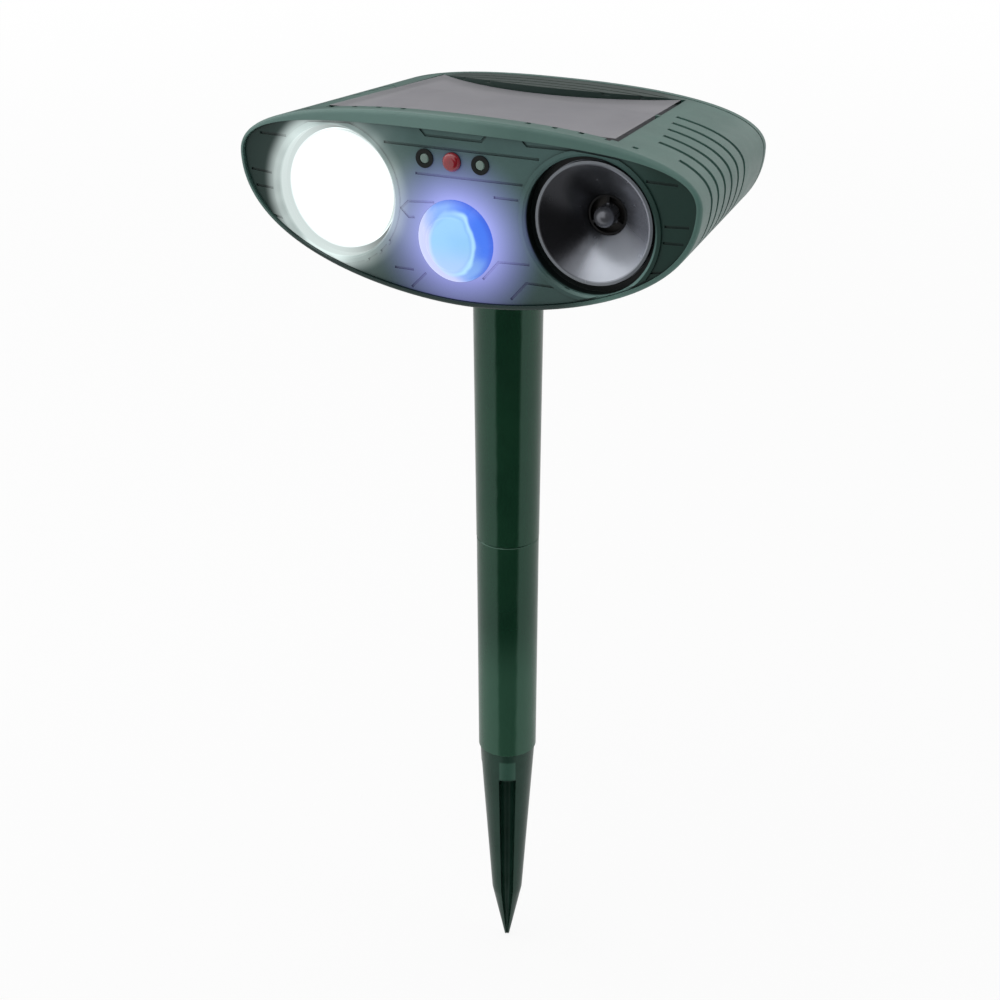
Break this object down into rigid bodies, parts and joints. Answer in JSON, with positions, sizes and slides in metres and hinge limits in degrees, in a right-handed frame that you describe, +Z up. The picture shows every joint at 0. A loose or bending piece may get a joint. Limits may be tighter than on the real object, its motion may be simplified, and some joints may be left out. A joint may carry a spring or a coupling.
{
  "type": "solar ultrasonic pest repeller",
  "caption": "Eye-shaped garden pest repeller head with lamp, motion sensor and horn, a solar panel on top, on a round sectional pole with a ground spike.",
  "frame": {"origin": "on the pole's axis at ground level, which is the shoulder of the spike", "axes": "+Z up along the pole, the face with the lamp and horn looks to -Y, the horn is at +X"},
  "size_m": [0.1596, 0.0952, 0.3366],
  "materials": {
    "housing": "satin moulded, grey-green",
    "panel": "satin moulded, grey-green",
    "pole": "smooth, glossy",
    "spike": "smooth, glossy",
    "collar": "fine matte",
    "knob": "fine matte, fluted",
    "button": "soft",
    "seal": "foamed strip",
    "flap": "soft",
    "horn": "polished, metallised smoke grey",
    "can": "plain",
    "reflector": "vacuum metallised",
    "lamp_lens": "clear, polished",
    "fresnel": "milky, lit from behind",
    "window": "clear coat over cells",
    "cells": "grey film cells with fine lines",
    "backing": "grey sheet",
    "board": "green solder mask",
    "chips": "moulded",
    "led_white": "phosphor",
    "led_blue": "tinted, clear",
    "led_red": "tinted, clear",
    "bezel": "plain",
    "sensor_glass": "smoky",
    "piezo": "dark lacquered",
    "steel": "zinc plated",
    "cell_skin": "shrink wrap",
    "battery_tray": "plain",
    "pot": "pressed can"
  },
  "bodies": {
    "spike": {"ground_spike": "spike"},
    "lower_pole": {"lower_pole": "pole"},
    "upper_pole": {"upper_pole": "pole"},
    "bush": {"swivel_bush": "collar"},
    "frequency_knob": {"frequency_knob": "knob", "frequency_shaft": "steel"},
    "sensitivity_knob": {"sensitivity_knob": "knob", "sensitivity_shaft": "steel"},
    "power_button": {"power_button": "button", "switch_plunger": "can"},
    "port_cover": {"port_cover": "flap"},
    "head": {"housing_shell": "housing", "front_panel": "panel", "rear_cover": "housing", "rear_gasket": "seal", "rear_screws": "steel", "solar_window": "window", "solar_cells": "cells", "solar_backing": "backing", "lamp_reflector": "reflector", "lamp_lens": "lamp_lens", "lamp_board": "board", "lamp_leds": "led_white", "horn_flare": "horn", "phase_plug": "horn", "driver_can": "can", "piezo_disc": "piezo", "pir_lens": "fresnel", "pir_retainer": "can", "pir_board": "board", "pir_sensor": "steel", "pir_leds": "led_blue", "sensor_bezels": "bezel", "charge_led": "sensor_glass", "status_led": "led_red", "light_sensor": "sensor_glass", "indicator_board": "board", "panel_screws": "steel", "main_board": "board", "board_screws": "steel", "board_components": "chips", "frequency_pot": "pot", "sensitivity_pot": "pot", "power_switch": "can", "usb_socket": "steel", "battery_cells": "cell_skin", "battery_holder": "battery_tray", "battery_contacts": "steel", "port_cover_pin": "steel"}
  },
  "joints": [
    {"name": "lower_pole_pull", "type": "slide", "parent": "spike", "child": "lower_pole", "axis": [0, 0, 1], "range_m": [0, 0.024]},
    {"name": "upper_pole_pull", "type": "slide", "parent": "lower_pole", "child": "upper_pole", "axis": [0, 0, 1], "range_m": [0, 0.024]},
    {"name": "head_pull", "type": "slide", "parent": "upper_pole", "child": "bush", "axis": [0, 0, 1], "range_m": [0, 0.024]},
    {"name": "head_swivel", "type": "hinge", "parent": "bush", "child": "head", "pos_m": [0, 0, 0.196], "axis": [0, 0, 1], "continuous": true},
    {"name": "frequency_turn", "type": "hinge", "parent": "head", "child": "frequency_knob", "pos_m": [-0.026, 0.05, 0.2155], "axis": [0, 1, 0], "range_deg": [-135, 135]},
    {"name": "sensitivity_turn", "type": "hinge", "parent": "head", "child": "sensitivity_knob", "pos_m": [0.026, 0.05, 0.2155], "axis": [0, 1, 0], "range_deg": [-135, 135]},
    {"name": "power_press", "type": "slide", "parent": "head", "child": "power_button", "axis": [0, -1, 0], "range_m": [0, 0.0012], "stiffness_N_per_m": 1200, "springref_m": -0.0003},
    {"name": "port_cover_lift", "type": "hinge", "parent": "head", "child": "port_cover", "pos_m": [0, 0.049, 0.20765], "axis": [1, 0, 0], "range_deg": [0, 110]}
  ]
}
